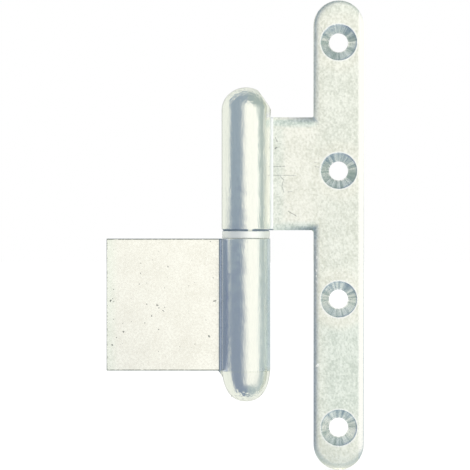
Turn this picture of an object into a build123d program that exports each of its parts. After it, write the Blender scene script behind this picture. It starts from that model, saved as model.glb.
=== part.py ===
"""A lift-off door hinge: two steel leaves with bullet-ended knuckles, a fixed pin and a loose bearing ring.

All sizes are in millimetres. The origin is on the pin's axis at the top of the lower knuckle, where the
ring rests. +Z is up along the pin, +X points to the screwed leaf and -Y to the countersunk side.
"""
import os
from math import hypot, radians, tan

from build123d import *

# Knuckles and the gap that the leaves leave when the hinge is closed
knuckle_radius = 7.25
closed_gap = 3.0
leaf_thickness = 3.0

# Bearing ring between the knuckles
ring_inset = 0.15
ring_height = 2.5
ring_clearance = 0.08
ring_top_chamfer = 0.4
ring_bottom_chamfer = 0.25
ring_bore_chamfer = 0.2

# Pin, pressed into the lower knuckle and running in the upper one
pin_radius = 4.5
pin_press = 0.01
pin_clearance = 0.05
pin_headroom = 1.0
pin_lead_length = 2.2
pin_lead_depth = 0.7
pin_tail_chamfer = 0.6
drill_point_angle = 118.0
bore_mouth_chamfer = 0.4

# Upper knuckle and its strap
strap_height = 33.7
strap_top_to_dome = 2.0
dome_height = 6.8
dome_fullness = 0.55
upper_end_wall = 4.7
upper_rim_chamfer = 0.45
upper_front_root = 0.9
back_root = 1.5
stub_proud = 0.25
stub_trim_angle = 34.8
stub_trim_depth = 1.0

# Long screwed strip at the end of the strap
strip_length = 140.0
strip_width = 15.0
strip_from_axis = 20.2
strip_below_strap = 71.44
strip_roll_width = 2.0
strip_roll_radius = 3.2
strip_corner_upper = 0.6
strip_corner_lower = 0.8
strip_back_break = 0.2

# Countersunk holes along the strip
screw_count = 4
screw_end_distance = 12.5
screw_hole_radius = 2.85
countersink_radius = 5.45
countersink_angle = 90.0

# Lower knuckle and its weld-on plate
plate_from_axis = 41.6
plate_height = 39.4
plate_edge_break = 0.15
lower_end_wall = 9.4
lower_front_root = 1.0
nose_length = 9.05
nose_step = 0.05
nose_taper = 0.5
nose_fullness = 0.62
root_tail_proud = 1.2
root_tail_length = 7.7
root_tail_end_depth = 2.81
root_tail_bulge = 0.55

# Radii, heights and faces that follow from the sizes above
ring_radius = knuckle_radius - ring_inset
leaf_front = closed_gap / 2
leaf_back = leaf_front + leaf_thickness
strap_bottom = ring_height
strap_top = strap_bottom + strap_height
dome_base = strap_top + strap_top_to_dome
upper_bore_end = dome_base - upper_end_wall
pin_top = upper_bore_end - pin_headroom
plate_bottom = -plate_height
pin_bottom = plate_bottom + lower_end_wall
strip_middle = strip_from_axis + strip_width / 2
strip_bottom = strap_bottom - strip_below_strap
overlap = 1.0
slack = 0.01


def knuckle_section(front_root, reach):
    """The knuckle's circle with the root of its leaf on the -X side, seen along the pin."""
    root = Pos(-reach / 2, leaf_front + leaf_thickness / 2) * Rectangle(reach, leaf_thickness)
    section = Circle(knuckle_radius) + root
    for level, radius in ((leaf_front, front_root), (leaf_back, back_root)):
        on_circle = [v for v in section.vertices() if abs(hypot(v.X, v.Y) - knuckle_radius) < slack]
        section = fillet([v for v in on_circle if abs(v.Y - level) < slack], radius)
    return section


def root_alone(section, front_root):
    """The root in a knuckle's section between the lines where it meets the knuckle."""
    low = (leaf_front - front_root) * knuckle_radius / (knuckle_radius + front_root)
    high = (leaf_back + back_root) * knuckle_radius / (knuckle_radius + back_root)
    band = Pos(-knuckle_radius, (low + high) / 2) * Rectangle(knuckle_radius, high - low)
    return section & band


def drilled_bore(radius, mouth, end):
    """A blind hole on the pin's axis, with a chamfered mouth and a drill's point past its full depth."""
    inward = 1 if end > mouth else -1
    point = radius / tan(radians(drill_point_angle / 2))
    profile = Polyline(
        (0, mouth - inward * overlap),
        (radius + bore_mouth_chamfer + overlap, mouth - inward * overlap),
        (radius, mouth + inward * bore_mouth_chamfer),
        (radius, end),
        (0, end + inward * point),
        close=True,
    )
    return revolve(Plane.XZ * make_face(profile), Axis.Z)


def rounded_end(start, base, tip, taper, fullness):
    """A knuckle's closed end, turned about the pin's axis and square to it at the tip."""
    rise = tip - base
    edge = Bezier(
        (start, base),
        (start - taper, base + fullness * rise),
        (fullness * start, tip),
        (0, tip),
    )
    outline = edge + Polyline((0, tip), (0, base), (start, base))
    return revolve(Plane.XZ * make_face(outline), Axis.Z)


def domed_end(radius, base):
    """The upper knuckle from a base height up: a neck and a dome a little flatter than a hemisphere."""
    neck = Pos(0, 0, (base + dome_base) / 2) * Cylinder(radius, dome_base - base)
    return neck + rounded_end(radius, dome_base, dome_base + dome_height, 0, dome_fullness)


def countersunk_hole():
    """The cutter of one screw hole, with its axis along Y."""
    sink_depth = (countersink_radius - screw_hole_radius) / tan(radians(countersink_angle / 2))
    profile = Polyline(
        (0, leaf_back + overlap),
        (screw_hole_radius, leaf_back + overlap),
        (screw_hole_radius, leaf_front + sink_depth),
        (countersink_radius, leaf_front),
        (countersink_radius, leaf_front - overlap),
        (0, leaf_front - overlap),
        close=True,
    )
    return revolve(make_face(profile), Axis.Y)


def leaf_outline(start, margin):
    """The strap and the long strip seen from the front, a margin wider all round than their own size."""
    strap = Rectangle(strip_middle - start, strap_height + 2 * margin)
    slot = SlotOverall(strip_length + 2 * margin, strip_width + 2 * margin, rotation=90)
    outline = Pos((start + strip_middle) / 2, strap_bottom + strap_height / 2) * strap
    return outline + Pos(strip_middle, strip_bottom + strip_length / 2) * slot


def rolled_blank(start):
    """A wider, thicker plate with a full round edge, of which the leaf's own outline keeps the inner part."""
    margin = strip_roll_radius - strip_roll_width
    thickness = strip_roll_radius + overlap
    outline = leaf_outline(start, margin)
    blank = extrude(Plane.XZ.offset(-leaf_front - thickness) * outline, thickness)
    rim = blank.faces().sort_by(Axis.Y)[0].edges()
    return fillet([e for e in rim if e.center().X > start + slack], strip_roll_radius)


def screw_plate(start):
    """The strap and the long strip as one flat plate with a rolled front edge and a row of screw holes."""
    outline = leaf_outline(start, 0)
    for level, radius in ((strap_bottom, strip_corner_lower), (strap_top, strip_corner_upper)):
        at_level = [v for v in outline.vertices() if abs(v.Y - level) < slack]
        outline = fillet([v for v in at_level if abs(v.X - strip_from_axis) < slack], radius)
    plate = extrude(Plane.XZ.offset(-leaf_back) * outline, leaf_thickness)
    back = plate.faces().sort_by(Axis.Y)[-1].edges()
    plate = fillet([e for e in back if e.center().X > start + slack], strip_back_break)
    plate &= rolled_blank(start)
    pitch = (strip_length - 2 * screw_end_distance) / (screw_count - 1)
    for i in range(screw_count):
        plate -= Pos(strip_middle, 0, strip_bottom + screw_end_distance + i * pitch) * countersunk_hole()
    return plate


def upper_knuckle(reach):
    """The upper knuckle with the root of its strap on the -X side."""
    section = knuckle_section(upper_front_root, reach)
    barrel = extrude(Pos(0, 0, strap_bottom) * section, strap_height)
    for side in (0, -1):
        rim = barrel.faces().sort_by(Axis.Z)[side].edges()
        barrel = chamfer([e for e in rim if e.center().X > slack - reach], upper_rim_chamfer)
    base = strap_top - 2 * upper_rim_chamfer
    stub = extrude(Pos(0, 0, base) * root_alone(section, upper_front_root), dome_base + dome_height - base)
    end = domed_end(knuckle_radius, base) + (stub & domed_end(knuckle_radius + stub_proud, base))
    width = 4 * knuckle_radius
    beyond = Pos(stub_trim_depth - knuckle_radius - width / 2, 0, 0) * Box(width, width, width)
    end -= Pos(0, 0, dome_base) * Rot(0, stub_trim_angle, 0) * beyond
    return barrel + end


def screw_leaf():
    """The upper knuckle and the screwed leaf, one forging."""
    root_end = knuckle_radius + upper_front_root
    leaf = mirror(upper_knuckle(root_end), about=Plane.YZ) + screw_plate(root_end)
    return leaf - drilled_bore(pin_radius + pin_clearance, strap_bottom, upper_bore_end)


def root_tail(section):
    """What is left of the leaf's root beside the nose, ground back in a curve towards the tip."""
    start = (-knuckle_radius - root_tail_proud, plate_bottom)
    end = (root_tail_end_depth - knuckle_radius, plate_bottom - root_tail_length)
    edge = SagittaArc(start, end, root_tail_bulge)
    side = make_face(edge + Polyline(end, (0, end[1]), (0, plate_bottom), start))
    root = Pos(0, 0, plate_bottom) * root_alone(section, lower_front_root)
    return extrude(root, -root_tail_length) & revolve(Plane.XZ * side, Axis.Z)


def weld_leaf():
    """The lower knuckle and the weld-on plate, one forging."""
    section = knuckle_section(lower_front_root, plate_from_axis)
    body = extrude(Pos(0, 0, plate_bottom) * section, plate_height)
    lower_rim = body.faces().sort_by(Axis.Z)[0].edges()
    sheared = [e for e in lower_rim if e.center().X < -knuckle_radius - lower_front_root]
    sheared += body.faces().sort_by(Axis.X)[0].edges() + body.faces().sort_by(Axis.Z)[-1].edges()
    body = chamfer(set(sheared), plate_edge_break)
    start = knuckle_radius - nose_step
    nose = rounded_end(start, plate_bottom, plate_bottom - nose_length, nose_taper, nose_fullness)
    leaf = body + nose + root_tail(section)
    return leaf - drilled_bore(pin_radius - pin_press, 0, pin_bottom)


def hinge_pin():
    """The pin, with a lead-in taper at its top and a chamfer at its pressed end."""
    profile = Polyline(
        (0, pin_bottom),
        (pin_radius - pin_tail_chamfer, pin_bottom),
        (pin_radius, pin_bottom + pin_tail_chamfer),
        (pin_radius, pin_top - pin_lead_length),
        (pin_radius - pin_lead_depth, pin_top),
        (0, pin_top),
        close=True,
    )
    return revolve(Plane.XZ * make_face(profile), Axis.Z)


def bearing_ring():
    """The loose ring that carries the upper knuckle."""
    bore = pin_radius + ring_clearance
    profile = Polyline(
        (bore + ring_bore_chamfer, 0),
        (ring_radius - ring_bottom_chamfer, 0),
        (ring_radius, ring_bottom_chamfer),
        (ring_radius, ring_height - ring_top_chamfer),
        (ring_radius - ring_top_chamfer, ring_height),
        (bore + ring_bore_chamfer, ring_height),
        (bore, ring_height - ring_bore_chamfer),
        (bore, ring_bore_chamfer),
        close=True,
    )
    return revolve(Plane.XZ * make_face(profile), Axis.Z)


os.makedirs("parts", exist_ok=True)
for name, shape in (
    ("screw_leaf", screw_leaf()),
    ("weld_leaf", weld_leaf()),
    ("hinge_pin", hinge_pin()),
    ("bearing_ring", bearing_ring()),
):
    export_step(shape, f"parts/{name}.step")
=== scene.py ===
"""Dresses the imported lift-off hinge with its zinc finishes and sets up the studio and the camera.

All lengths are in metres in the hinge's own frame: the pin's axis is Z, the origin is where the ring rests on
the lower knuckle, the screwed leaf lies towards +X and the countersunk side faces -Y.
"""
import math

import bmesh
import bpy
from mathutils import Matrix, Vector


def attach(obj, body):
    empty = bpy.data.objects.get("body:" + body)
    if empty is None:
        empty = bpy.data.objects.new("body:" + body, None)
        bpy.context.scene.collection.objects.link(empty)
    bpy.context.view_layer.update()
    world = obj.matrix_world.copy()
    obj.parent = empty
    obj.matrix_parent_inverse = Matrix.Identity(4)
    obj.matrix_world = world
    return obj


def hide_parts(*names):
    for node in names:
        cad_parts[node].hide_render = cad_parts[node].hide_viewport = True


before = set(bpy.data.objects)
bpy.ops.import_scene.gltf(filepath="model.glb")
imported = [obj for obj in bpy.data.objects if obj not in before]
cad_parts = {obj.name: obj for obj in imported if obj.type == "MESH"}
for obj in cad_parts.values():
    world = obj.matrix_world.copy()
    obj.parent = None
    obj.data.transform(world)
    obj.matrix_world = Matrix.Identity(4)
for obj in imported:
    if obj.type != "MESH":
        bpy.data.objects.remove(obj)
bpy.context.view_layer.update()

# Knuckles, bearing ring and pin
upper_root_reach = 0.0083
lower_root_reach = 0.0079
bore_radius = 0.0046
ring_radius = 0.0071
ring_height = 0.0025
ring_bore_radius = 0.00458
ring_top_chamfer = 0.0004
ring_bottom_chamfer = 0.00025
ring_bore_chamfer = 0.0002
ring_edge_round = 0.00008
pin_radius = 0.0045
pin_bottom = -0.030
pin_tail_chamfer = 0.0006
pin_top = 0.0325
pin_lead_length = 0.0022
pin_lead_depth = 0.0007
pin_edge_round = 0.0004

# Leaves
leaf_front = 0.0015
leaf_back = 0.0045
roll_depth = 0.0007
strip_from_axis = 0.0202
strip_right = 0.0352
plate_bottom = -0.0394
plate_end = -0.0416
plate_lean = 0.13

# Row of countersunk screw holes
screw_row_x = 0.0277
screw_row_bottom = -0.05644
screw_spacing = 0.115 / 3
screw_count = 4
screw_hole_radius = 0.00285
countersink_radius = 0.00545
countersink_rim = (0.00009, 0.000035)
countersink_steps = 6
chatter_depth = 0.00004
chatter_scale = 5.0
chatter_fade = (0.0004, 0.0003)
chatter_seed = 3.0
hole_seed_step = 7.3
turned_segments = 192

# Meshes: angles in degrees of sharp edges and flat faces, and distances within which points are one
sharp_angle = 28
flat_angle = 0.3
same_point = 1e-6
same_turned_point = 1e-7

# How square to Y a flat and a rolled face are at least, and how near its hole a rim lies, in radii
flat_face = 0.99
rolled_face = 0.3
near_rim = 1.2

# Scratches, specks and nicks, each from x, z to x, z, with its half width and its strength
leaf_marks = (
    (0.0077, 0.0215, 0.0117, 0.0215, 0.00013, 0.5),
    (0.0079, 0.0189, 0.0148, 0.0188, 0.00013, 0.45),
    (0.0100, 0.0189, 0.0112, 0.0175, 0.00018, 0.38),
    (0.0112, 0.0175, 0.0107, 0.0156, 0.00016, 0.38),
    (0.0107, 0.0156, 0.0113, 0.0139, 0.00016, 0.38),
    (0.0125, 0.0139, 0.0137, 0.0141, 0.00022, 0.38),
    (0.0125, 0.0082, 0.0151, 0.0067, 0.00015, 0.6),
    (0.0088, 0.0269, 0.0090, 0.0272, 0.00035, 0.8),
    (0.0087, 0.0301, 0.0094, 0.0288, 0.00018, 0.5),
    (0.0204, 0.0228, 0.0219, 0.0224, 0.00015, 0.35),
    (0.0207, 0.0215, 0.0218, 0.0213, 0.00018, 0.45),
    (0.0223, 0.0632, 0.0228, 0.0618, 0.00018, 0.35),
)
plate_specks = (
    (-0.0233, -0.0082, -0.0232, -0.0084, 0.00029, 0.65),
    (-0.0315, -0.0103, -0.0315, -0.0104, 0.00023, 0.70),
    (-0.0318, -0.0135, -0.0318, -0.0137, 0.00019, 0.55),
    (-0.0404, -0.0186, -0.0402, -0.0184, 0.00029, 0.85),
    (-0.0398, -0.0179, -0.0397, -0.0180, 0.00019, 0.65),
    (-0.0393, -0.0186, -0.0393, -0.0187, 0.00017, 0.55),
    (-0.0296, -0.0195, -0.0296, -0.0196, 0.00023, 0.65),
    (-0.0266, -0.0198, -0.0264, -0.0200, 0.00030, 0.70),
    (-0.0260, -0.0206, -0.0260, -0.0207, 0.00021, 0.55),
    (-0.0248, -0.0214, -0.0245, -0.0217, 0.00021, 0.65),
    (-0.0282, -0.0231, -0.0281, -0.0230, 0.00026, 0.65),
    (-0.0302, -0.0251, -0.0302, -0.0252, 0.00021, 0.60),
    (-0.0367, -0.0277, -0.0365, -0.0279, 0.00030, 0.65),
    (-0.0121, -0.0243, -0.0120, -0.0243, 0.00018, 0.55),
    (-0.0111, -0.0291, -0.0109, -0.0293, 0.00030, 0.85),
    (-0.0096, -0.0186, -0.0090, -0.0186, 0.00023, 0.75),
    (-0.0400, -0.0317, -0.0399, -0.0318, 0.00026, 0.70),
)
leaf_nicks = (
    (0.0210, -0.0379, 0.0214, -0.0377, 0.00045, 1.0),
    (0.0283, -0.0377, 0.0285, -0.0379, 0.00030, 0.5),
    (0.0211, -0.0054, 0.0211, -0.0058, 0.00036, 1.0),
    (0.0211, -0.0093, 0.0211, -0.0097, 0.00040, 1.0),
    (0.0210, -0.0112, 0.0211, -0.0114, 0.00032, 0.9),
    (0.0211, -0.0127, 0.0211, -0.0131, 0.00036, 1.0),
)
nose_smudge = (0.0042, -0.0388, 0.0056, -0.0387, 0.0006, 0.4)

# Colours of the finishes; a pair goes from the darker to the lighter end of the mottle
leaf_cream = ((0.80, 0.795, 0.665, 1), (1.0, 0.99, 0.87, 1))
leaf_green = ((0.64, 0.71, 0.62, 1), (0.87, 0.93, 0.83, 1))
# The darker green is painted shade along the strap's rolled edges, and a darker tone towards the knuckle
darker_green = (0.42, 0.52, 0.45, 1)
# Near white for the painted highlights on the strip's right edge and round the countersinks
edge_highlight_white = (1.0, 1.0, 0.93, 1)
# Near white for the painted glints on the nicks
nick_glint_white = (1.0, 1.0, 0.95, 1)
scratch_grey = (0.16, 0.17, 0.16, 1)
plate_cream = ((0.885, 0.862, 0.752, 1), (1.0, 0.99, 0.885, 1))
plate_green = ((0.82, 0.86, 0.73, 1), (0.975, 1.0, 0.88, 1))
plate_line_grey = (0.16, 0.18, 0.15, 1)
speck_black = (0.08, 0.09, 0.07, 1)
knuckle_silver = ((0.92, 0.935, 0.83, 1), (0.985, 0.99, 0.885, 1))
# Painted light on the knuckles: a white root beside the strap, and painted shade on the lower knuckle's flank
# and crease
root_highlight_white = (1.0, 1.0, 0.98, 1)
flank_shade_blue = (0.84, 0.91, 0.89, 1)
crease_shade_blue = (0.75, 0.80, 0.87, 1)
# Bluish grey for the painted shade in the seams and for the smudge on the nose
shade_and_smudge_blue = (0.40, 0.47, 0.52, 1)
countersink_blue = ((0.38, 0.48, 0.54, 1), (0.93, 0.98, 0.96, 1))
countersink_green = ((0.43, 0.52, 0.47, 1), (1.0, 1.0, 0.93, 1))
sheared_grey = ((0.30, 0.33, 0.31, 1), (0.62, 0.66, 0.60, 1))
ring_silver = ((0.97, 0.98, 0.91, 1), (1.0, 1.0, 0.93, 1))
pin_silver = ((0.62, 0.63, 0.64, 1), (0.80, 0.80, 0.79, 1))
bore_grey = ((0.48, 0.50, 0.50, 1), (0.66, 0.67, 0.66, 1))

# Roughness, from the darker to the lighter end of the mottle where there are two
leaf_rough = (0.50, 0.36)
rolled_rough = 0.28
highlit_edge_rough = 0.16
plate_rough = (0.28, 0.17)
knuckle_rough = (0.24, 0.12)
root_end_roughening = 0.45
flank_roughening = 0.12
darkened_roughening = 0.3
countersink_rough = (0.40, 0.24)
sheared_rough = (0.5, 0.34)
ring_rough = 0.5
pin_rough = 0.16
bore_rough = 0.3
turned_rough_span = 0.08
ring_metallic = 0.7

# Heights that the bump is worth, and how strong dents and waves are beside the grain
leaf_grain_height = 0.00006
fine_grain_height = 0.00003
score_height = 0.00002
tool_line_height = 0.00001
dent_strength = 13.0
wave_strength = (1.0, 6.0)

# Places on the screwed leaf, each from none of a change in the finish to all of it
# Painted light: the strap is painted paler than the strip
strap_painted_light_x = (0.021, 0.017)
paler_foot_z = (-0.056, -0.064)
green_x = (0.0165, 0.0265)
green_z = (-0.012, -0.030)
green_foot_z = (-0.062, -0.048)
rubbed_from_hole = (0.0105, 0.0070)
rubbed_z = (-0.045, -0.025)
strap_root_x = (0.0125, 0.0095)
strap_x = (0.023, 0.019)
# Painted shade: a darker green band along the strap's rolled top and bottom edges
edge_shade_top_z = (0.0325, 0.0345)
edge_shade_top_end_z = (0.0360, 0.0350)
edge_shade_bottom_z = (0.0060, 0.0030)
# Painted highlights: a ring round each countersink and the strip's right edge
hole_rim_highlight = (countersink_radius + 0.0005, countersink_radius + 0.0002)
highlit_edge_x = (strip_right - 0.0020, strip_right - 0.0012)
front_limit_y = leaf_front + 1.2 * roll_depth
rolled_y = (leaf_front + 0.02 * roll_depth, leaf_front + 0.6 * roll_depth)
rolled_x = (screw_row_x + 0.002, screw_row_x - 0.003)
strip_corner_x = strip_from_axis - 0.0003

# Places on the weld-on plate
plate_green_x = (-0.0375, -0.0412)
plate_top_line = (-0.00045, -0.00025)
plate_bottom_line = (plate_bottom + 0.00045, plate_bottom + 0.00025)
plate_end_line = (plate_end + 0.0004, plate_end + 0.0002)

# Places on the knuckles, and how far the painted shade reaches from the seams over and under the ring
root_x = (0.0054, 0.0062)
root_top_z = (0.0380, 0.0360)
heel_x = (0.0069, 0.0073)
foot_x = (-0.0070, -0.0079)
flank_x = (0.0052, 0.0060)
flank_y = (0.001, -0.002)
flank_z = (plate_bottom, plate_bottom + 0.002)
crease_x = (-0.0050, -0.0058)
dented_dome_z = (0.0385, 0.0425)
dented_nose_z = (-0.0435, -0.0465)
waved_x = (-0.0055, -0.0025)
upper_seam = 0.00036
upper_ring_seam = 0.00034
lower_seam = 0.00042
# Width of the gap in the painted shade over the ring, where a highlight crosses it
upper_seam_highlight = 0.0006

# Places in a countersink, and the holes that are paler, counted from the lowest
# Painted light: each cone is lighter on its left and its lower side
lit_side_across = (0.0, -0.0035)
lit_side_along = (0.0, -0.0035)
green_along = (0.004, 0.0005)
paler_holes = (1.8, 1.2)

# Camera, floor, and how strong the white surroundings are as light and where they are seen
camera_distance = 0.8
frame_width = 0.14015
frame_centre = (-0.00328, 0.00107)
sensor_mm = 36.0
floor_level = -0.06896
floor_size = 12
floor_grey = (0.8, 0.8, 0.8, 1)
floor_glow = 0.5
surroundings = (0.8, 1.0)

# Lamps: size, power, place and aim
key_lamp = (0.7, 1.5, (0.35, -1.1, 0.25), (0, 0, 0))
side_lamp = (0.4, 1.3, (0.97, -0.52, 0.05), (0.01, 0, 0.02))

# Studio hood that the bright metal mirrors, in degrees off the camera's side
hood_radius = 0.5
hood_reach = 78
hood_rise_margin = 30
hood_right_margin = 14
hood_below_margin = (32, 71)
card_below_margin = (-2, 3)
card_gap = 0.0005
nose_height = -0.043
hood_blur = 6
window_left = -14.5
window_right = 65
window_top = 45
window_top_blur = 5
window_middle = 6
window_crown = 0.013
window_bottom = -35
window_bottom_blur = 9
window_blur = 13
window_low_shift = 9.5
window_low_blur = 11
behind = (138, 164)
streak_side = -87
streak_width = 6
far_left_side = (-92, -80)
window_white = (0.985, 0.985, 0.985, 1)
hood_left = (0.325, 0.396, 0.497, 1)
hood_right = (0.39, 0.465, 0.48, 1)
hood_low_far_left = (0.18, 0.22, 0.35, 1)
hood_low_left = (0.258, 0.312, 0.436, 1)
hood_low_right = (0.45, 0.53, 0.58, 1)
hood_low_streak = (0.32, 0.39, 0.49, 1)
hood_side = (0.90, 0.92, 0.91, 1)
hood_behind = (0.55, 0.57, 0.56, 1)

# Places on the hood by direction, where 1 is straight up or straight to the right
below_up = (0.01, -0.03)
left_to_right = (-0.2, 0.5)
below_left_to_right = (-0.5, 0.5)


# Node helpers, for shader and geometry trees alike


def put(tree, kind, inputs=None, **settings):
    """Adds a node, sets its properties, and sets or links its inputs."""
    node = tree.nodes.new(kind)
    for name, value in settings.items():
        setattr(node, name, value)
    for name, value in (inputs or {}).items():
        if isinstance(value, bpy.types.NodeSocket):
            tree.links.new(value, node.inputs[name])
        else:
            node.inputs[name].default_value = value
    return node


def calc(tree, operation, *values, clamp=False):
    """A Math node's result."""
    inputs = dict(enumerate(values))
    return put(tree, "ShaderNodeMath", inputs, operation=operation, use_clamp=clamp).outputs[0]


def times(tree, first, *others):
    """The product of several numbers."""
    for value in others:
        first = calc(tree, "MULTIPLY", first, value)
    return first


def most(tree, first, *others):
    """The largest of several numbers."""
    for value in others:
        first = calc(tree, "MAXIMUM", first, value)
    return first


def fade(tree, value, low, high, start=0.0, end=1.0):
    """A smooth change from start to end while the value goes from low to high."""
    inputs = {"Value": value, "From Min": low, "From Max": high, "To Min": start, "To Max": end}
    return put(tree, "ShaderNodeMapRange", inputs, interpolation_type="SMOOTHSTEP").outputs[0]


def join(tree, x=0.0, y=0.0, z=0.0):
    """A vector from three numbers."""
    return put(tree, "ShaderNodeCombineXYZ", {0: x, 1: y, 2: z}).outputs[0]


def split(tree, vector):
    """The three numbers of a vector."""
    return put(tree, "ShaderNodeSeparateXYZ", {0: vector}).outputs


def on_part(tree):
    """The point on the piece, in metres in the hinge's frame."""
    return put(tree, "ShaderNodeTexCoord").outputs["Object"]


def noise(tree, point, scale, detail=2.0, roughness=0.5):
    """Smooth noise that lies about 0.5."""
    inputs = {"Vector": point, "Scale": scale, "Detail": detail, "Roughness": roughness}
    return put(tree, "ShaderNodeTexNoise", inputs).outputs["Fac"]


def blend(tree, factor, first, second):
    """A number that goes from the first to the second with the factor."""
    return put(tree, "ShaderNodeMix", {"Factor": factor, 2: first, 3: second}).outputs[0]


def blend_colour(tree, factor, first, second):
    """A colour that goes from the first to the second with the factor."""
    inputs = {"Factor": factor, 6: first, 7: second}
    return put(tree, "ShaderNodeMix", inputs, data_type="RGBA").outputs[2]


def new_group(kind, name, inputs, outputs):
    """An empty node group with named sockets, and its input and output nodes."""
    tree = bpy.data.node_groups.new(name, kind)
    for label, value in inputs.items():
        socket_kind = {float: "Float", int: "Int"}.get(type(value), value)
        socket = tree.interface.new_socket(label, in_out="INPUT", socket_type="NodeSocket" + socket_kind)
        if socket_kind != value:
            socket.default_value = value
    for label, socket_kind in outputs.items():
        tree.interface.new_socket(label, in_out="OUTPUT", socket_type="NodeSocket" + socket_kind)
    return tree, put(tree, "NodeGroupInput").outputs, put(tree, "NodeGroupOutput").inputs


def place(tree, group, **values):
    """A group node with its inputs set; underscores in the names stand for spaces."""
    inputs = {label.replace("_", " ").title(): value for label, value in values.items()}
    return put(tree, group.bl_idname.replace("NodeTree", "NodeGroup"), inputs, node_tree=group).outputs


def by_hole(tree, x, z, row_x, row_bottom, spacing):
    """A point by its nearest hole of an upright row: across, along and away from its axis, and which hole."""
    half = times(tree, spacing, 0.5)
    above = calc(tree, "ADD", calc(tree, "SUBTRACT", z, row_bottom), half)
    across = calc(tree, "SUBTRACT", x, row_x)
    along = calc(tree, "SUBTRACT", calc(tree, "FLOORED_MODULO", above, spacing), half)
    away = calc(tree, "SQRT", calc(tree, "MULTIPLY_ADD", across, across, times(tree, along, along)))
    return across, along, away, calc(tree, "FLOOR", calc(tree, "DIVIDE", above, spacing))


def spoke_point(tree, across, along, away, hole, seed=0.0):
    """A point that is the same all along one spoke of a countersink, and another in each hole."""
    own = calc(tree, "MULTIPLY_ADD", hole, hole_seed_step, seed)
    return join(tree, calc(tree, "DIVIDE", across, away), calc(tree, "DIVIDE", along, away), own)


# Effects that several finishes share


def make_mottle():
    """Uneven zinc: fine grain over wider clouds. Tone lies about 0.5, Height about 0."""
    tree, given, out = new_group(
        "ShaderNodeTree",
        "zinc_mottle",
        {"Grain Size": 0.0007, "Grain": 2.0, "Cloud Size": 0.004, "Cloud": 1.0, "Stretch": 1.0},
        {"Tone": "Float", "Height": "Float"},
    )
    x, y, z = split(tree, on_part(tree))
    point = join(tree, x, y, calc(tree, "DIVIDE", z, given["Stretch"]))
    layers = []
    for size, detail, roughness in (("Grain Size", 3.0, 0.65), ("Cloud Size", 4.0, 0.6)):
        scale = calc(tree, "DIVIDE", 1.0, given[size])
        layers.append(calc(tree, "SUBTRACT", noise(tree, point, scale, detail, roughness), 0.5))
    grain, cloud = layers
    both = calc(tree, "MULTIPLY_ADD", cloud, given["Cloud"], times(tree, grain, given["Grain"]))
    tree.links.new(calc(tree, "ADD", both, 0.5, clamp=True), out["Tone"])
    tree.links.new(grain, out["Height"])
    return tree


def make_pits():
    """Scattered small pits. Mask is 1 in a pit."""
    tree, given, out = new_group(
        "ShaderNodeTree",
        "pits",
        {"Spacing": 0.002, "Size": 0.25, "Share": 0.3},
        {"Mask": "Float"},
    )
    point = on_part(tree)
    scale = calc(tree, "DIVIDE", 1.0, given["Spacing"])
    wobble = noise(tree, point, times(tree, scale, 3.0))
    cells = put(tree, "ShaderNodeTexVoronoi", {"Vector": point, "Scale": scale})
    chosen = put(tree, "ShaderNodeSeparateColor", {"Color": cells.outputs["Color"]}).outputs
    present = calc(tree, "LESS_THAN", chosen["Red"], given["Share"])
    width = times(tree, given["Size"], calc(tree, "ADD", chosen["Green"], 0.4))
    ragged = calc(tree, "MULTIPLY_ADD", wobble, 0.3, cells.outputs["Distance"])
    inside = fade(tree, ragged, calc(tree, "ADD", width, 0.15), calc(tree, "MULTIPLY_ADD", width, 0.6, 0.15))
    tree.links.new(times(tree, inside, present), out["Mask"])
    return tree


def make_scratches():
    """Fine broken scratches in one direction on the leaf faces. Mask is 1 in a scratch."""
    tree, given, out = new_group(
        "ShaderNodeTree",
        "scratches",
        {"Angle": 0.0, "Spacing": 0.002, "Length": 0.01, "Width": 0.02, "Share": 0.5},
        {"Mask": "Float"},
    )
    inputs = {"Vector": on_part(tree), "Angle": given["Angle"]}
    turned = put(tree, "ShaderNodeVectorRotate", inputs, rotation_type="Y_AXIS").outputs[0]
    x, _, z = split(tree, turned)
    cell = join(tree, calc(tree, "DIVIDE", x, given["Spacing"]), calc(tree, "DIVIDE", z, given["Length"]))
    level = calc(tree, "ABSOLUTE", calc(tree, "SUBTRACT", noise(tree, cell, 1.0, 1.0), 0.5))
    line = fade(tree, level, given["Width"], 0.0)
    edge = calc(tree, "SUBTRACT", 1.0, given["Share"])
    chosen = fade(tree, noise(tree, cell, 0.37, 0.0), edge, calc(tree, "ADD", edge, 0.08))
    tree.links.new(times(tree, line, chosen), out["Mask"])
    return tree


def make_mark():
    """One scratch, speck or nick at its own place on the front. Mask goes up to its strength."""
    numbers = {"From X": 0.0, "From Z": 0.0, "To X": 0.0, "To Z": 0.0, "Width": 0.0002, "Dark": 0.5}
    tree, given, out = new_group("ShaderNodeTree", "mark", numbers, {"Mask": "Float"})
    point = on_part(tree)
    x, y, z = split(tree, point)
    start = join(tree, given["From X"], 0.0, given["From Z"])
    end = join(tree, given["To X"], 0.0, given["To Z"])
    flat = join(tree, x, 0.0, z)
    run = put(tree, "ShaderNodeVectorMath", {0: end, 1: start}, operation="SUBTRACT").outputs[0]
    off = put(tree, "ShaderNodeVectorMath", {0: flat, 1: start}, operation="SUBTRACT").outputs[0]
    reach = put(tree, "ShaderNodeVectorMath", {0: off, 1: run}, operation="DOT_PRODUCT").outputs["Value"]
    whole = put(tree, "ShaderNodeVectorMath", {0: run, 1: run}, operation="DOT_PRODUCT").outputs["Value"]
    share = calc(tree, "DIVIDE", reach, whole, clamp=True)
    foot = put(tree, "ShaderNodeVectorMath", {0: run, "Scale": share}, operation="SCALE").outputs[0]
    away = put(tree, "ShaderNodeVectorMath", {0: off, 1: foot}, operation="DISTANCE").outputs["Value"]
    wobble = fade(tree, noise(tree, point, 2500.0, 1.0), 0.35, 0.65, 0.5, 1.5)
    width = times(tree, given["Width"], wobble)
    inside = fade(tree, away, width, times(tree, width, 0.3))
    front = calc(tree, "LESS_THAN", y, leaf_front + roll_depth)
    tree.links.new(times(tree, inside, front, given["Dark"]), out["Mask"])
    return tree


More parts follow.
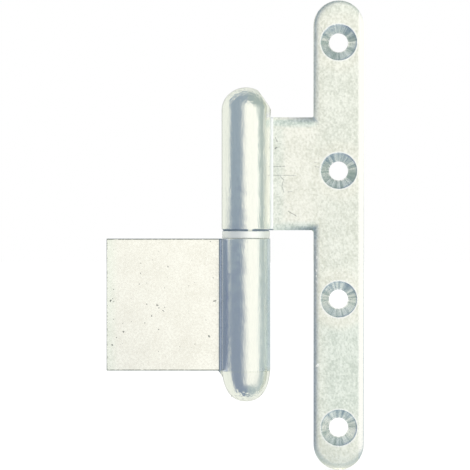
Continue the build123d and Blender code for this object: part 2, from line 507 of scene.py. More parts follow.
def make_seam_shade():
    """Painted shade in the seam at a height on the pin's axis, left out on the front at one narrow place,
    where a highlight crosses it.
    """
    numbers = {"Level": 0.0, "Reach": 0.0004, "Rubbed X": 0.0012, "Rubbed Width": 0.0008}
    tree, given, out = new_group("ShaderNodeTree", "seam_grime", numbers, {"Mask": "Float"})
    point = on_part(tree)
    x, y, z = split(tree, point)
    reach = times(tree, given["Reach"], fade(tree, noise(tree, point, 900.0), 0.3, 0.7, 0.8, 1.2))
    away = calc(tree, "ABSOLUTE", calc(tree, "SUBTRACT", z, given["Level"]))
    seam = fade(tree, away, reach, times(tree, reach, 0.75))
    aside = calc(tree, "ABSOLUTE", calc(tree, "SUBTRACT", x, given["Rubbed X"]))
    width = given["Rubbed Width"]
    kept = fade(tree, aside, times(tree, width, 0.7), times(tree, width, 1.4))
    kept = most(tree, kept, calc(tree, "GREATER_THAN", y, 0.0))
    tree.links.new(times(tree, seam, kept), out["Mask"])
    return tree


mottle = make_mottle()
pits = make_pits()
scratches = make_scratches()
mark = make_mark()
seam_grime = make_seam_shade()


def marked(tree, marks, first=0.0):
    """The strongest of several marks, over a mask that is there already."""
    mask = first
    for x, z, to_x, to_z, width, dark in marks:
        one = place(tree, mark, from_x=x, from_z=z, to_x=to_x, to_z=to_z, width=width, dark=dark)
        mask = most(tree, mask, one["Mask"])
    return mask


def both_seams(tree, upper_reach):
    """The painted shade in the seams over and under the ring."""
    cleared = upper_seam_highlight
    upper = place(tree, seam_grime, level=ring_height, reach=upper_reach, rubbed_width=cleared)
    lower = place(tree, seam_grime, level=0.0, reach=lower_seam, rubbed_width=0.0)
    return most(tree, upper["Mask"], lower["Mask"])


# Finishes


def new_material(name):
    """A node material with nothing in it yet."""
    material = bpy.data.materials.new(name)
    material.use_nodes = True
    material.node_tree.nodes.clear()
    return material, material.node_tree


def metal(name, metallic=1.0):
    """A material for bare metal, with its node tree and the inputs of its Principled BSDF."""
    material, tree = new_material(name)
    shader = put(tree, "ShaderNodeBsdfPrincipled", {"Metallic": metallic})
    put(tree, "ShaderNodeOutputMaterial", {"Surface": shader.outputs[0]})
    return material, tree, shader.inputs


def raise_surface(tree, socket, height, distance):
    """Bump from a height that is worth the distance in metres."""
    tree.links.new(put(tree, "ShaderNodeBump", {"Height": height, "Distance": distance}).outputs[0], socket)


def make_leaf_zinc():
    """Dull mottled zinc of the strap and the screwed strip, smoother where the edge is rolled over."""
    material, tree, shader = metal("zinc_leaf_face")
    x, y, z = split(tree, on_part(tree))
    skin = place(tree, mottle, grain_size=0.0006, grain=3.3, cloud_size=0.005, cloud=1.2, stretch=1.2)
    fine = place(tree, scratches, angle=0.12, spacing=0.0011, length=0.012, width=0.02, share=0.5)
    cross = place(tree, scratches, angle=1.5, spacing=0.0012, length=0.010, width=0.02, share=0.42)
    lines = most(tree, fine["Mask"], cross["Mask"])
    tone = calc(tree, "MULTIPLY_ADD", lines, -0.25, skin["Tone"])
    # Painted light: the strap's tone is raised, so that it is painted paler than the strip
    strap_painted_light = fade(tree, x, *strap_painted_light_x, 0.0, 0.18)
    paler_foot = fade(tree, z, *paler_foot_z, 0.0, 0.2)
    tone = calc(tree, "ADD", tone, most(tree, strap_painted_light, paler_foot), clamp=True)

    from_hole = by_hole(tree, x, z, screw_row_x, screw_row_bottom, screw_spacing)[2]
    cleared = times(tree, fade(tree, from_hole, *rubbed_from_hole), fade(tree, z, *rubbed_z))
    lower = times(tree, fade(tree, z, *green_z, 0.3, 0.75), fade(tree, z, *green_foot_z, 0.2, 1.0))
    lower = times(tree, lower, fade(tree, x, *green_x), calc(tree, "MULTIPLY_ADD", cleared, -0.8, 1.0))
    # Painted shade: the strap's rolled top and bottom edges are painted a darker green, and the strap is a
    # little darker green towards the knuckle
    top = times(tree, fade(tree, z, *edge_shade_top_z), fade(tree, z, *edge_shade_top_end_z))
    ends = most(tree, top, fade(tree, z, *edge_shade_bottom_z))
    ends = times(tree, ends, fade(tree, x, *strap_x), calc(tree, "GREATER_THAN", z, 0.0))
    darker_share = most(tree, times(tree, fade(tree, x, *strap_root_x), 0.4), ends)
    cream = blend_colour(tree, tone, *leaf_cream)
    green = blend_colour(tree, tone, *leaf_green)
    colour = blend_colour(tree, most(tree, lower, darker_share), cream, green)
    patchy = fade(tree, skin["Tone"], 0.85, 0.25, 0.15, 0.8)
    colour = blend_colour(tree, times(tree, darker_share, patchy, 0.35), colour, darker_green)

    front = calc(tree, "LESS_THAN", y, front_limit_y)
    # Painted highlights: the strip's right edge and a ring round each countersink are painted near white, and
    # that edge is also smoother
    highlit_edge = times(tree, fade(tree, x, *highlit_edge_x), front)
    rim = times(tree, fade(tree, from_hole, *hole_rim_highlight, 0.0, 0.75), front)
    nicks = marked(tree, leaf_nicks)
    colour = blend_colour(tree, most(tree, rim, highlit_edge), colour, edge_highlight_white)
    # Painted glints: the nicks are painted near white
    colour = blend_colour(tree, nicks, colour, nick_glint_white)
    colour = blend_colour(tree, marked(tree, leaf_marks), colour, scratch_grey)
    tree.links.new(colour, shader["Base Color"])

    on_strip = calc(tree, "GREATER_THAN", x, strip_corner_x)
    rolled = times(tree, fade(tree, y, *rolled_y), fade(tree, x, *rolled_x), on_strip)
    sheen = blend(tree, rolled, fade(tree, tone, 0.0, 1.0, *leaf_rough), rolled_rough)
    tree.links.new(blend(tree, highlit_edge, sheen, highlit_edge_rough), shader["Roughness"])

    # A height that grows with the depth takes back a share of the rolled edge's own shading
    off_strip = calc(tree, "SUBTRACT", 1.0, on_strip)
    edges = most(tree, calc(tree, "MULTIPLY_ADD", off_strip, 0.65, 0.35), nicks)
    flattened = times(tree, most(tree, edges, times(tree, highlit_edge, 0.5)), front)
    depth = calc(tree, "DIVIDE", calc(tree, "SUBTRACT", y, leaf_front), leaf_grain_height)
    height = calc(tree, "MULTIPLY_ADD", depth, flattened, skin["Height"])
    raise_surface(tree, shader["Normal"], height, leaf_grain_height)
    return material


def make_plate_zinc():
    """Creamy, slightly pitted zinc of the weld-on plate."""
    material, tree, shader = metal("zinc_weld_plate")
    point = on_part(tree)
    x, _, z = split(tree, point)
    skin = place(tree, mottle, grain_size=0.0007, grain=2.7, cloud_size=0.007, cloud=1.6, stretch=1.0)
    dots = place(tree, pits, spacing=0.0009, size=0.15, share=0.14)
    cream = blend_colour(tree, skin["Tone"], *plate_cream)
    greenish = blend_colour(tree, skin["Tone"], *plate_green)
    colour = blend_colour(tree, fade(tree, x, *plate_green_x, 0.0, 0.8), cream, greenish)
    broken = noise(tree, point, 1500.0)
    line = most(tree, fade(tree, z, *plate_top_line), fade(tree, z, *plate_bottom_line))
    line = times(tree, line, fade(tree, broken, 0.30, 0.50, 0.25, 0.85))
    end_line = times(tree, fade(tree, x, *plate_end_line), fade(tree, broken, 0.52, 0.60, 0.0, 0.7))
    colour = blend_colour(tree, most(tree, line, end_line), colour, plate_line_grey)
    spots = times(tree, dots["Mask"], fade(tree, skin["Tone"], 0.55, 0.30))
    spots = marked(tree, plate_specks, spots)
    tree.links.new(blend_colour(tree, spots, colour, speck_black), shader["Base Color"])
    tree.links.new(fade(tree, skin["Tone"], 0.0, 1.0, *plate_rough), shader["Roughness"])
    height = calc(tree, "SUBTRACT", times(tree, skin["Height"], 0.4), spots)

    # Its shading leans a little towards the window in the hood, so that it mirrors the bright side
    leaning = calc(tree, "MULTIPLY_ADD", x, -plate_lean / fine_grain_height, height)
    raise_surface(tree, shader["Normal"], leaning, fine_grain_height)
    return material


def make_knuckle_zinc():
    """Bright zinc on the turned knuckles, drawn slightly along the pin."""
    material, tree, shader = metal("zinc_knuckle")
    point = on_part(tree)
    x, y, z = split(tree, point)
    skin = place(tree, mottle, grain_size=0.0006, grain=1.6, cloud_size=0.0024, cloud=1.2, stretch=5.0)
    over = calc(tree, "GREATER_THAN", z, ring_height)
    under = calc(tree, "LESS_THAN", z, 0.0)
    root = times(tree, fade(tree, x, *root_x), over, fade(tree, z, *root_top_z))
    heel = times(tree, root, fade(tree, x, *heel_x))
    foot = times(tree, fade(tree, x, *foot_x), under)
    flank = times(tree, fade(tree, x, *flank_x), under, fade(tree, z, *flank_z), fade(tree, y, *flank_y))
    crease = times(tree, fade(tree, x, *crease_x), under, calc(tree, "GREATER_THAN", z, plate_bottom))
    colour = blend_colour(tree, skin["Tone"], *knuckle_silver)
    # Painted light: the root beside the strap is painted white as a reflection of the bright strap, and the
    # lower knuckle's flank and its crease by the plate are painted bluish as shade
    for share, tint in ((root, root_highlight_white), (flank, flank_shade_blue), (crease, crease_shade_blue)):
        colour = blend_colour(tree, share, colour, tint)
    # Painted shade in the seams over and under the ring, and the smudge on the nose
    darkened = marked(tree, (nose_smudge,), both_seams(tree, upper_seam))
    tree.links.new(blend_colour(tree, darkened, colour, shade_and_smudge_blue), shader["Base Color"])

    rough = fade(tree, skin["Tone"], 0.0, 1.0, *knuckle_rough)
    rough = calc(tree, "MULTIPLY_ADD", most(tree, foot, heel), root_end_roughening, rough)
    rough = calc(tree, "MULTIPLY_ADD", flank, flank_roughening, rough)
    tree.links.new(calc(tree, "MULTIPLY_ADD", darkened, darkened_roughening, rough), shader["Roughness"])

    dents = calc(tree, "SUBTRACT", noise(tree, point, 1050.0, 1.5, 0.6), 0.5)
    dents = times(tree, dents, most(tree, fade(tree, z, *dented_dome_z), fade(tree, z, *dented_nose_z)))
    waves = calc(tree, "SUBTRACT", noise(tree, point, 210.0, 1.0), 0.5)
    height = calc(tree, "MULTIPLY_ADD", dents, dent_strength, skin["Tone"])
    height = calc(tree, "MULTIPLY_ADD", waves, fade(tree, x, *waved_x, *wave_strength), height)
    raise_surface(tree, shader["Normal"], height, fine_grain_height)
    return material


def make_countersink_zinc():
    """Cut cones of the screw holes, with a bluish and greenish zinc film."""
    material, tree, shader = metal("zinc_countersink")
    x, _, z = split(tree, on_part(tree))
    across, along, away, hole = by_hole(tree, x, z, screw_row_x, screw_row_bottom, screw_spacing)
    spoke = spoke_point(tree, across, along, away, hole)
    skin = place(tree, mottle, grain_size=0.0006, grain=3.0, cloud_size=0.003, cloud=1.5, stretch=1.0)
    streaks = fade(tree, noise(tree, spoke, 3.0, 4.0, 0.7), 0.38, 0.62, -0.24, 0.58)
    # Painted light: each cone is painted lighter on its left and its lower side
    tone = calc(tree, "MULTIPLY_ADD", skin["Tone"], fade(tree, across, *lit_side_across, 0.3, 0.75), streaks)
    tone = calc(tree, "ADD", tone, fade(tree, noise(tree, spoke, 0.8, 1.0), 0.60, 0.70, 0.0, 0.5))
    paler_hole = fade(tree, hole, *paler_holes, 0.0, 0.18)
    paler_foot = fade(tree, along, *lit_side_along, 0.0, 0.24)
    tone = calc(tree, "ADD", tone, calc(tree, "ADD", paler_hole, paler_foot), clamp=True)
    blue = blend_colour(tree, tone, *countersink_blue)
    green = blend_colour(tree, tone, *countersink_green)
    tree.links.new(blend_colour(tree, fade(tree, along, *green_along), blue, green), shader["Base Color"])
    tree.links.new(fade(tree, tone, 0.0, 1.0, *countersink_rough), shader["Roughness"])
    raise_surface(tree, shader["Normal"], skin["Height"], fine_grain_height)
    return material


def make_sheared_zinc():
    """Sheared edges of the leaves: darker, and scored through the thickness."""
    material, tree, shader = metal("zinc_sheared_edge")
    x, y, z = split(tree, on_part(tree))
    scored = join(tree, x, times(tree, y, 0.12), z)
    scores = fade(tree, noise(tree, scored, 2200.0, 2.0, 0.6), 0.3, 0.7)
    skin = place(tree, mottle, grain_size=0.0012, grain=1.2, cloud_size=0.005, cloud=1.2, stretch=1.0)
    tone = times(tree, calc(tree, "ADD", scores, skin["Tone"]), 0.5)
    tree.links.new(blend_colour(tree, tone, *sheared_grey), shader["Base Color"])
    tree.links.new(fade(tree, tone, 0.0, 1.0, *sheared_rough), shader["Roughness"])
    raise_surface(tree, shader["Normal"], scores, score_height)
    return material


def make_turned_steel(name, colours, roughness, metallic=1.0):
    """Turned bright steel with fine tool lines round the axis and painted shade in the seams."""
    material, tree, shader = metal(name, metallic)
    z = split(tree, on_part(tree))[2]
    lines = noise(tree, join(tree, 0.0, 0.0, z), 9000.0, 3.0)
    skin = place(tree, mottle, grain_size=0.0005, grain=0.8, cloud_size=0.003, cloud=1.2, stretch=0.5)
    tone = times(tree, calc(tree, "ADD", lines, skin["Tone"]), 0.5)
    # Painted shade in the seams over and under the ring
    darkened = both_seams(tree, upper_ring_seam)
    colour = blend_colour(tree, tone, *colours)
    tree.links.new(blend_colour(tree, darkened, colour, shade_and_smudge_blue), shader["Base Color"])
    rough = fade(tree, tone, 0.3, 0.7, roughness + turned_rough_span, roughness)
    tree.links.new(calc(tree, "MULTIPLY_ADD", darkened, darkened_roughening, rough), shader["Roughness"])
    raise_surface(tree, shader["Normal"], tone, tool_line_height)
    return material


leaf_zinc = make_leaf_zinc()
plate_zinc = make_plate_zinc()
knuckle_zinc = make_knuckle_zinc()
countersink_zinc = make_countersink_zinc()
sheared_zinc = make_sheared_zinc()
ring_steel = make_turned_steel("ring_steel", ring_silver, ring_rough, ring_metallic)
pin_steel = make_turned_steel("pin_steel", pin_silver, pin_rough)
bored_steel = make_turned_steel("bored_steel", bore_grey, bore_rough)


# Turned shapes and the row of screw holes, made by Geometry Nodes


def make_turning():
    """Turns an open outline about Z: x is the radius and z the height. Its corners are rounded."""
    tree, given, out = new_group(
        "GeometryNodeTree",
        "turned_shape",
        {"Outline": "Geometry", "Edge Radius": 0.0001, "Segments": 96},
        {"Shape": "Geometry"},
    )
    inputs = {"Curve": given["Outline"], "Count": 3, "Radius": given["Edge Radius"], "Limit Radius": True}
    rounded = put(tree, "GeometryNodeFilletCurve", inputs, mode="POLY").outputs[0]
    size = put(tree, "GeometryNodeAttributeDomainSize", {"Geometry": rounded}, component="CURVE")
    rows = size.outputs["Point Count"]
    columns = calc(tree, "ADD", given["Segments"], 1.0)
    grid = put(tree, "GeometryNodeMeshGrid", {"Vertices X": columns, "Vertices Y": rows}).outputs["Mesh"]
    number = put(tree, "GeometryNodeInputIndex").outputs[0]
    column = calc(tree, "FLOOR", calc(tree, "DIVIDE", calc(tree, "ADD", number, 0.5), rows))
    row = calc(tree, "SUBTRACT", number, times(tree, column, rows))
    along = put(tree, "GeometryNodeInputPosition").outputs[0]
    inputs = {"Geometry": rounded, "Value": along, "Index": row}
    sampled = put(tree, "GeometryNodeSampleIndex", inputs, data_type="FLOAT_VECTOR", domain="POINT")
    radius, _, height = split(tree, sampled.outputs["Value"])
    turn = times(tree, calc(tree, "DIVIDE", column, given["Segments"]), math.tau)
    x = times(tree, radius, calc(tree, "COSINE", turn))
    y = times(tree, radius, calc(tree, "SINE", turn))
    inputs = {"Geometry": grid, "Position": join(tree, x, y, height)}
    turned = put(tree, "GeometryNodeSetPosition", inputs).outputs[0]
    inputs = {"Geometry": turned, "Distance": same_turned_point}
    closed = put(tree, "GeometryNodeMergeByDistance", inputs).outputs[0]
    smooth = put(tree, "GeometryNodeSetShadeSmooth", {"Geometry": closed, "Shade Smooth": True}).outputs[0]
    tree.links.new(smooth, out["Shape"])
    return tree


def finish_tree(tree, shape, finish, out):
    """Ends a Geometry Nodes tree with real geometry in its finish."""
    real = put(tree, "GeometryNodeRealizeInstances", {"Geometry": shape}).outputs[0]
    dressed = put(tree, "GeometryNodeSetMaterial", {"Geometry": real, "Material": finish}).outputs[0]
    tree.links.new(dressed, out)


def make_turned_piece(turning):
    """A whole turned piece in one finish."""
    tree, given, out = new_group(
        "GeometryNodeTree",
        "turned_piece",
        {"Outline": "Geometry", "Edge Radius": 0.0001, "Segments": 96, "Finish": "Material"},
        {"Piece": "Geometry"},
    )
    outline, edge_radius, segments = given["Outline"], given["Edge Radius"], given["Segments"]
    shape = place(tree, turning, outline=outline, edge_radius=edge_radius, segments=segments)
    finish_tree(tree, shape["Shape"], given["Finish"], out["Piece"])
    return tree


def make_screw_row(turning):
    """A row of countersunk holes through a plate, with the cutter's chatter round each cone."""
    tree, given, out = new_group(
        "GeometryNodeTree",
        "screw_hole_row",
        {
            "Outline": "Geometry",
            "Segments": 96,
            "Holes": 4,
            "Row X": 0.0,
            "Row Bottom": 0.0,
            "Spacing": 0.03,
            "Chatter": 0.00001,
            "Chatter Scale": 5.0,
            "Seed": 3.0,
            "Finish": "Material",
        },
        {"Piece": "Geometry"},
    )
    cone = place(tree, turning, outline=given["Outline"], edge_radius=0.0, segments=given["Segments"])
    inputs = {
        "Count": given["Holes"],
        "Start Location": join(tree, given["Row X"], 0.0, given["Row Bottom"]),
        "Offset": join(tree, 0.0, 0.0, given["Spacing"]),
    }
    line = put(tree, "GeometryNodeMeshLine", inputs, mode="OFFSET").outputs[0]
    inputs = {"Points": line, "Instance": cone["Shape"], "Rotation": (math.radians(-90), 0, 0)}
    row = put(tree, "GeometryNodeInstanceOnPoints", inputs).outputs[0]
    real = put(tree, "GeometryNodeRealizeInstances", {"Geometry": row}).outputs[0]
    x, _, z = split(tree, put(tree, "GeometryNodeInputPosition").outputs[0])
    across, along, away, hole = by_hole(tree, x, z, given["Row X"], given["Row Bottom"], given["Spacing"])
    spoke = spoke_point(tree, across, along, away, hole, given["Seed"])
    wave = calc(tree, "SUBTRACT", noise(tree, spoke, given["Chatter Scale"]), 0.5)
    rim = countersink_radius - countersink_rim[0]
    foot_fade, rim_fade = chatter_fade
    inner = fade(tree, away, screw_hole_radius, screw_hole_radius + foot_fade)
    cut = times(tree, inner, fade(tree, away, rim, rim - rim_fade))
    depth = times(tree, wave, cut, given["Chatter"])
    normal = put(tree, "GeometryNodeInputNormal").outputs[0]
    offset = put(tree, "ShaderNodeVectorMath", {0: normal, "Scale": depth}, operation="SCALE").outputs[0]
    moved = put(tree, "GeometryNodeSetPosition", {"Geometry": real, "Offset": offset}).outputs[0]
    finish_tree(tree, moved, given["Finish"], out["Piece"])
    return tree


def outline_curve(name, points):
    """A curve object with the outline of a turned shape; its points are (radius, height)."""
    curve = bpy.data.curves.new(name, "CURVE")
    curve.dimensions = "3D"
    line = curve.splines.new("POLY")
    line.points.add(len(points) - 1)
    for point, (radius, height) in zip(line.points, points):
        point.co = (radius, 0, height, 1)
    shape = bpy.data.objects.new(name, curve)
    bpy.context.scene.collection.objects.link(shape)
    return shape


def run_nodes(name, points, tree, **values):
    """Runs a Geometry Nodes tree on an outline and gives back the finished mesh."""
    shape = outline_curve(name, points)
    modifier = shape.modifiers.new(tree.name, "NODES")
    modifier.node_group = tree
    for item in tree.interface.items_tree:
        label = item.name.replace(" ", "_").lower()
        if item.in_out == "INPUT" and label in values:
            modifier[item.identifier] = values[label]
    graph = bpy.context.evaluated_depsgraph_get()
    mesh = bpy.data.meshes.new_from_object(shape.evaluated_get(graph))
    mesh.name = name
    shape.modifiers.remove(modifier)
    bpy.data.objects.remove(shape)
    return mesh


def stand_for(name, mesh, node, body):
    """Puts a finished mesh in the place of its CAD node."""
    piece = bpy.data.objects.new(name, mesh)
    bpy.context.scene.collection.objects.link(piece)
    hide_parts(node)
    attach(piece, body)
    return piece


def make_turned(name, points, edge_radius, finish, node, body):
    """A turned piece that stands for its CAD node."""
    values = {"edge_radius": edge_radius, "segments": turned_segments, "finish": finish}
    mesh = run_nodes(name, points, turned_piece, **values)
    shape = bmesh.new()
    shape.from_mesh(mesh)
    bmesh.ops.recalc_face_normals(shape, faces=shape.faces)
    shape.to_mesh(mesh)
    shape.free()
    mesh.set_sharp_from_angle(angle=math.radians(sharp_angle))
    return stand_for(name, mesh, node, body)


turned_shape = make_turning()
turned_piece = make_turned_piece(turned_shape)
screw_row = make_screw_row(turned_shape)

ring_outline = (
    (ring_bore_radius, ring_height / 2),
    (ring_bore_radius, ring_bore_chamfer),
    (ring_bore_radius + ring_bore_chamfer, 0),
    (ring_radius - ring_bottom_chamfer, 0),
    (ring_radius, ring_bottom_chamfer),
    (ring_radius, ring_height - ring_top_chamfer),
    (ring_radius - ring_top_chamfer, ring_height),
    (ring_bore_radius + ring_bore_chamfer, ring_height),
    (ring_bore_radius, ring_height - ring_bore_chamfer),
    (ring_bore_radius, ring_height / 2),
)
pin_outline = (
    (0, pin_bottom),
    (pin_radius - pin_tail_chamfer, pin_bottom),
    (pin_radius, pin_bottom + pin_tail_chamfer),
    (pin_radius, pin_top - pin_lead_length),
    (pin_radius - pin_lead_depth, pin_top),
    (0, pin_top),
)
make_turned(
    "bearing_ring_turned", ring_outline, ring_edge_round, ring_steel, "bearing_ring", "ring"
)
make_turned(
    "hinge_pin_turned", pin_outline, pin_edge_round, pin_steel, "hinge_pin", "frame_half"
)


# Forged leaves: smooth copies of the CAD nodes with a finish for each kind of surface


def square_to_y(face, least):
    """Whether a face looks to the front or the back, by the least share of its normal along Y."""
    return abs(face.normal.y) >= least


def hole_near(point, radius):
    """The number of the screw hole whose axis is within a radius of a point, or None."""
    for i in range(screw_count):
        away = math.hypot(point.x - screw_row_x, point.z - screw_row_bottom - i * screw_spacing)
        if away < radius:
            return i
    return None


def in_screw_hole(face):
    """Whether a face belongs to the cone or the bore of a screw hole."""
    near = hole_near(face.calc_center_median(), countersink_radius) is not None
    return near and not square_to_y(face, flat_face)


def screw_leaf_finish(face):
    """Slot of a face of the upper leaf: 0 leaf, 1 knuckle, 2 countersink, 3 sheared edge, 4 bore."""
    middle = face.calc_center_median()
    from_axis = math.hypot(middle.x, middle.y)
    if in_screw_hole(face):
        return 2
    if from_axis < bore_radius and abs(middle.z) < pin_top + bore_radius:
        return 4
    if from_axis < upper_root_reach:
        return 1
    return 0 if square_to_y(face, rolled_face) else 3


def weld_leaf_finish(face):
    """Slot of a face of the lower leaf: 0 plate, 1 knuckle, 2 sheared edge, 3 bore."""
    middle = face.calc_center_median()
    from_axis = math.hypot(middle.x, middle.y)
    if from_axis < bore_radius and middle.z > pin_bottom - bore_radius:
        return 3
    if from_axis < lower_root_reach:
        return 1
    return 0 if square_to_y(face, flat_face) else 2


def cut_screw_holes(shape):
    """Puts cones with the cutter's chatter in the place of a leaf's plain screw holes."""
    plain = [face for face in shape.faces if in_screw_hole(face)]
    bmesh.ops.delete(shape, geom=plain, context="FACES")
    rim_in, rim_down = countersink_rim
    rim_radius = countersink_radius - rim_in
    rim_level = leaf_front + rim_down
    foot = leaf_front + countersink_radius - screw_hole_radius
    points = []
    for i in range(countersink_steps + 1):
        radius = rim_radius + (screw_hole_radius - rim_radius) * i / countersink_steps
        points.append((radius, rim_level + (foot - rim_level) * i / countersink_steps))
    points.append((screw_hole_radius, leaf_back - rim_down))
    mesh = run_nodes(
        "screw_holes",
        points,
        screw_row,
        segments=turned_segments,
        holes=screw_count,
        row_x=screw_row_x,
        row_bottom=screw_row_bottom,
        spacing=screw_spacing,
        chatter=chatter_depth,
        chatter_scale=chatter_scale,
        seed=chatter_seed,
        finish=countersink_zinc,
    )
    shape.from_mesh(mesh)
    bpy.data.meshes.remove(mesh)
    middle = (leaf_front + leaf_back) / 2
    for i in range(screw_count):
        for side in (-1, 1):
            rims = []
            for edge in shape.edges:
                centre = (edge.verts[0].co + edge.verts[1].co) / 2
                here = edge.is_boundary and (centre.y - middle) * side > 0
                if here and hole_near(centre, near_rim * countersink_radius) == i:
                    rims.append(edge)
            bmesh.ops.bridge_loops(shape, edges=rims)
    bmesh.ops.recalc_face_normals(shape, faces=shape.faces)


def make_forging(name, node, body, finishes, choose, cut=None):
    """A leaf: a merged, smooth copy of its CAD node that stands for it."""
    shape = bmesh.new()
    shape.from_mesh(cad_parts[node].data)
    bmesh.ops.remove_doubles(shape, verts=shape.verts, dist=same_point)
    flat = math.radians(flat_angle)
    bmesh.ops.dissolve_limit(shape, angle_limit=flat, verts=shape.verts, edges=shape.edges)
    if cut:
        cut(shape)
    for face in shape.faces:
        face.material_index = choose(face)
        face.smooth = True
    mesh = bpy.data.meshes.new(name)
    shape.to_mesh(mesh)
    shape.free()
    mesh.set_sharp_from_angle(angle=math.radians(sharp_angle))
    for finish in finishes:
        mesh.materials.append(finish)
    piece = stand_for(name, mesh, node, body)
    weigh = piece.modifiers.new("flat faces stay flat", "WEIGHTED_NORMAL")
    weigh.keep_sharp = True
    return piece


make_forging(
    "screw_leaf_forging",
    "screw_leaf",
    "door_half",
    (leaf_zinc, knuckle_zinc, countersink_zinc, sheared_zinc, bored_steel),
    screw_leaf_finish,
    cut_screw_holes,
)
make_forging(
    "weld_leaf_forging",
    "weld_leaf",
    "frame_half",
    (plate_zinc, knuckle_zinc, sheared_zinc, bored_steel),
    weld_leaf_finish,
)


# Studio


def seen_or_mirrored(tree):
    """1 for what the camera sees, also in or through something, and 0 for plain light."""
    path = put(tree, "ShaderNodeLightPath").outputs
    seen = calc(tree, "ADD", path["Is Camera Ray"], path["Is Glossy Ray"])
    return calc(tree, "ADD", seen, path["Is Transmission Ray"], clamp=True)


def make_floor():
    """A plain floor that looks white and keeps the hinge's shadow."""
    material, tree = new_material("studio_floor")
    paper = put(tree, "ShaderNodeBsdfDiffuse", {"Color": floor_grey}).outputs[0]
    glow = times(tree, seen_or_mirrored(tree), floor_glow)
    glow = put(tree, "ShaderNodeEmission", {"Strength": glow}).outputs[0]
    both = put(tree, "ShaderNodeAddShader", {0: paper, 1: glow}).outputs[0]
    put(tree, "ShaderNodeOutputMaterial", {"Surface": both})
    bpy.ops.mesh.primitive_plane_add(size=floor_size, location=(0, 0, floor_level))
    floor = bpy.context.object
    floor.name = "studio_floor"
    floor.data.materials.append(material)


def make_world():
    """White surroundings: plain light for the hinge, white where they are seen or mirrored."""
    world = bpy.data.worlds.new("studio")
    world.use_nodes = True
    tree = world.node_tree
    tree.nodes.clear()
    light, white = surroundings
    inputs = {"Value": seen_or_mirrored(tree), "To Min": light, "To Max": white}
    strength = put(tree, "ShaderNodeMapRange", inputs).outputs[0]
    glow = put(tree, "ShaderNodeBackground", {"Color": (1, 1, 1, 1), "Strength": strength})
    put(tree, "ShaderNodeOutputWorld", {"Surface": glow.outputs[0]})
    bpy.context.scene.world = world


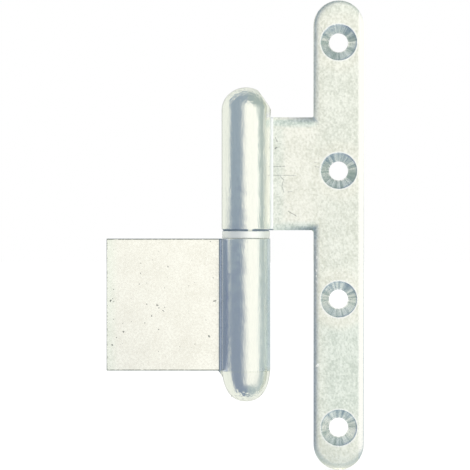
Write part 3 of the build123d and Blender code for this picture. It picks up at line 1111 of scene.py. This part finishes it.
def make_hood_finish(name, centre_height, below_margin):
    """A studio hood, dark in front but for a bright window and pale behind, painted by direction."""
    material, tree = new_material(name)
    inputs = {0: on_part(tree), 1: (0, 0, centre_height)}
    from_centre = put(tree, "ShaderNodeVectorMath", inputs, operation="SUBTRACT").outputs[0]
    way = put(tree, "ShaderNodeVectorMath", {0: from_centre}, operation="NORMALIZE").outputs[0]
    right, back, up = split(tree, way)
    front = calc(tree, "MULTIPLY", back, -1.0)
    off_axis = calc(tree, "DEGREES", calc(tree, "ARCCOSINE", front))
    side = calc(tree, "DEGREES", calc(tree, "ARCTAN2", right, front))
    rise = calc(tree, "DEGREES", calc(tree, "ARCSINE", up))
    below = fade(tree, up, *below_up)

    limit = calc(tree, "MULTIPLY_ADD", most(tree, up, 0.0), hood_rise_margin, hood_reach)
    limit = calc(tree, "MULTIPLY_ADD", most(tree, right, 0.0), hood_right_margin, limit)
    wider = fade(tree, right, *below_left_to_right, *below_margin)
    limit = calc(tree, "MULTIPLY_ADD", wider, below, limit)
    hood = fade(tree, calc(tree, "SUBTRACT", off_axis, limit), hood_blur, -hood_blur)

    left_edge = calc(tree, "MULTIPLY_ADD", below, window_low_shift, window_left)
    blur = calc(tree, "MULTIPLY_ADD", below, window_low_blur, window_blur)
    past_left = calc(tree, "DIVIDE", calc(tree, "SUBTRACT", side, left_edge), blur)
    past_right = calc(tree, "DIVIDE", calc(tree, "SUBTRACT", side, window_right), blur)
    aside = calc(tree, "SUBTRACT", side, window_middle)
    crowned = calc(tree, "ADD", rise, times(tree, aside, aside, window_crown))
    window = times(
        tree,
        fade(tree, past_left, -1.0, 1.0),
        fade(tree, past_right, 1.0, -1.0),
        fade(tree, crowned, window_top + window_top_blur, window_top - window_top_blur),
        fade(tree, rise, window_bottom - window_bottom_blur, window_bottom + window_bottom_blur),
    )

    to_right = fade(tree, right, *left_to_right)
    from_streak = calc(tree, "ABSOLUTE", calc(tree, "SUBTRACT", side, streak_side))
    far_left = blend_colour(tree, fade(tree, side, *far_left_side), hood_low_far_left, hood_low_left)
    far_left = blend_colour(tree, fade(tree, from_streak, streak_width, 0.0), far_left, hood_low_streak)
    upper = blend_colour(tree, to_right, hood_left, hood_right)
    lower = blend_colour(tree, to_right, far_left, hood_low_right)
    dark = blend_colour(tree, below, upper, lower)
    pale = blend_colour(tree, fade(tree, off_axis, *behind), hood_side, hood_behind)
    colour = blend_colour(tree, window, blend_colour(tree, hood, pale, dark), window_white)
    glow = put(tree, "ShaderNodeEmission", {"Color": colour}).outputs[0]
    put(tree, "ShaderNodeOutputMaterial", {"Surface": glow})
    return material


def set_aside(card):
    """A card that only mirrors see: not the camera, nor the plain light."""
    card.visible_camera = False
    card.visible_diffuse = False
    card.visible_shadow = False


def make_hood():
    """The hood round the hinge and its continuation over the floor."""
    bpy.ops.mesh.primitive_uv_sphere_add(segments=64, ring_count=32, radius=hood_radius)
    hood = bpy.context.object
    hood.name = "studio_hood"
    hood.data.materials.append(make_hood_finish("studio_hood", 0.0, hood_below_margin))
    set_aside(hood)
    bpy.ops.mesh.primitive_plane_add(size=2 * hood_radius)
    card = bpy.context.object
    card.name = "studio_floor_card"
    for corner in card.data.vertices:
        corner.co.z = floor_level + card_gap
    card.data.materials.append(make_hood_finish("studio_floor_card", nose_height, card_below_margin))
    set_aside(card)


def make_lamp(name, size, power, position, aim):
    """A soft square lamp that points at the hinge."""
    data = bpy.data.lights.new(name, "AREA")
    data.shape = "SQUARE"
    data.size = size
    data.energy = power
    lamp = bpy.data.objects.new(name, data)
    lamp.location = position
    lamp.rotation_euler = (Vector(aim) - Vector(position)).to_track_quat("-Z", "Y").to_euler()
    lamp.visible_camera = False
    bpy.context.scene.collection.objects.link(lamp)


def make_camera():
    """The photograph's view: square on to the leaves."""
    data = bpy.data.cameras.new("camera")
    data.sensor_width = sensor_mm
    data.lens = sensor_mm * camera_distance / frame_width
    camera = bpy.data.objects.new("camera", data)
    camera.location = (frame_centre[0], leaf_front - camera_distance, frame_centre[1])
    camera.rotation_euler = (math.radians(90), 0, 0)
    bpy.context.scene.collection.objects.link(camera)
    bpy.context.scene.camera = camera


make_floor()
make_world()
make_hood()
make_lamp("key_lamp", *key_lamp)
make_lamp("side_lamp", *side_lamp)
make_camera()

bpy.context.scene.view_settings.view_transform = "Standard"
